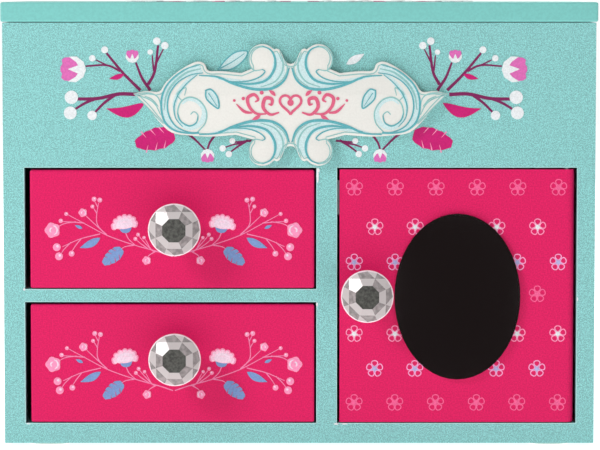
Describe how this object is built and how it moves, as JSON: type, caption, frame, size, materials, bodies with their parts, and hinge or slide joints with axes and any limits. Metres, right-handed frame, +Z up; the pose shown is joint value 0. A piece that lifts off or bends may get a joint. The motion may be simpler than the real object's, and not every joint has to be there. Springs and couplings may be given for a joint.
{
  "type": "ballerina jewellery box",
  "caption": "Paper-covered jewellery box with hinged lid, drawers, mirrored door, faceted knobs, raised scroll plaque and a clockwork turning dancer in the top tray.",
  "frame": {"origin": "centre of the bounding box in X and Y, on the plane that the foot pads stand on", "axes": "+X to the right across the width seen from the front, -Y towards the front, +Z up"},
  "size_m": [0.2406, 0.16, 0.1802],
  "materials": {
    "turquoise_paper": "fibreboard wrapped in turquoise printed paper with a fine canvas grain, satin",
    "lid_paper": "fibreboard wrapped in smooth turquoise paper, satin",
    "pink_paper": "fibreboard wrapped in deep pink printed paper, satin",
    "inner_lining": "thin board lined with pale pink flocked paper, matt",
    "plaque_board": "laser cut board with a printed scroll pattern, satin",
    "mirror_glass": "polished silvered glass",
    "clear_crystal": "clear faceted acrylic with a silvered back",
    "brass": "polished brass plate",
    "plated_steel": "zinc plated steel",
    "white_nylon": "moulded white nylon",
    "velvet": "deep pink short-pile velvet",
    "tulle": "pale pink stiffened tulle",
    "painted_dancer": "hand painted moulded plastic",
    "foam_pad": "thin pale foam pad"
  },
  "bodies": {
    "case": {"front_panel": "turquoise_paper", "back_panel": "turquoise_paper", "bottom_board": "turquoise_paper", "left_side": "turquoise_paper", "right_side": "turquoise_paper", "centre_partition": "inner_lining", "drawer_shelf": "inner_lining", "bay_panel": "inner_lining", "tray_floor": "inner_lining", "tray_divider": "inner_lining", "plaque": "plaque_board", "hinge_case_leaf_left": "brass", "hinge_case_leaf_right": "brass", "necklace_rail": "brass", "catch_magnet": "plated_steel", "movement_bedplate": "plated_steel", "comb": "plated_steel", "governor_frame": "white_nylon", "stage_cover": "velvet", "ring_cushion": "velvet", "foot_pad_front_left": "foam_pad", "foot_pad_front_right": "foam_pad", "foot_pad_back_left": "foam_pad", "foot_pad_back_right": "foam_pad"},
    "lid": {"lid_board": "lid_paper", "lid_mirror": "mirror_glass", "hinge_lid_leaf_left": "brass", "hinge_lid_leaf_right": "brass"},
    "door": {"door_panel": "pink_paper", "door_mirror": "mirror_glass", "door_pin_lower": "plated_steel", "door_pin_upper": "plated_steel", "door_strike_plate": "plated_steel", "door_knob": "clear_crystal", "door_knob_screw": "plated_steel"},
    "upper_drawer": {"upper_drawer_front": "pink_paper", "upper_drawer_left": "inner_lining", "upper_drawer_right": "inner_lining", "upper_drawer_back": "inner_lining", "upper_drawer_bottom": "inner_lining", "upper_drawer_knob": "clear_crystal", "upper_drawer_knob_screw": "plated_steel"},
    "lower_drawer": {"lower_drawer_front": "pink_paper", "lower_drawer_left": "inner_lining", "lower_drawer_right": "inner_lining", "lower_drawer_back": "inner_lining", "lower_drawer_bottom": "inner_lining", "lower_drawer_knob": "clear_crystal", "lower_drawer_knob_screw": "plated_steel"},
    "barrel": {"spring_barrel": "brass", "mainspring": "plated_steel"},
    "cylinder": {"pin_cylinder": "brass", "drive_gear": "white_nylon"},
    "dancer": {"dancer_gear": "white_nylon", "dancer_spring": "plated_steel", "dancer_figure": "painted_dancer", "dancer_skirt": "tulle"},
    "fly": {"governor_fly": "white_nylon"},
    "winding_key": {"winding_key": "brass"},
    "stop_rod": {"stop_rod": "plated_steel"}
  },
  "joints": [
    {"name": "lid_hinge", "type": "hinge", "parent": "case", "child": "lid", "pos_m": [0, 0.0625, 0.1722], "axis": [-1, 0, 0], "range_deg": [0, 100]},
    {"name": "door_hinge", "type": "hinge", "parent": "case", "child": "door", "pos_m": [0.1082, -0.057, 0.061], "axis": [0, 0, 1], "range_deg": [0, 100]},
    {"name": "upper_drawer_slide", "type": "slide", "parent": "case", "child": "upper_drawer", "axis": [0, -1, 0], "range_m": [0, 0.055]},
    {"name": "lower_drawer_slide", "type": "slide", "parent": "case", "child": "lower_drawer", "axis": [0, -1, 0], "range_m": [0, 0.075]},
    {"name": "barrel_turn", "type": "hinge", "parent": "case", "child": "barrel", "pos_m": [-0.008, 0.0524, 0.078], "axis": [0, 1, 0], "continuous": true},
    {"name": "cylinder_turn", "type": "hinge", "parent": "case", "child": "cylinder", "pos_m": [-0.008, 0.036, 0.084], "axis": [0, 0, 1], "continuous": true},
    {"name": "dancer_turn", "type": "hinge", "parent": "case", "child": "dancer", "pos_m": [0, 0.02214, 0.1186], "axis": [0, 0, 1], "continuous": true},
    {"name": "fly_turn", "type": "hinge", "parent": "case", "child": "fly", "pos_m": [-0.024, 0.038, 0.0923], "axis": [0, 0, 1], "continuous": true},
    {"name": "key_wind", "type": "hinge", "parent": "case", "child": "winding_key", "pos_m": [-0.008, 0.06, 0.078], "axis": [0, 1, 0], "range_deg": [0, 2160]},
    {"name": "stop_rod_lift", "type": "slide", "parent": "case", "child": "stop_rod", "axis": [0, 0, 1], "range_m": [0, 0.004]}
  ],
  "couplings": [
    {"joint": "cylinder_turn", "follows": "barrel_turn", "ratio": -3},
    {"joint": "dancer_turn", "follows": "barrel_turn", "ratio": 3},
    {"joint": "stop_rod_lift", "follows": "lid_hinge", "m_per_rad": 0.0022}
  ]
}
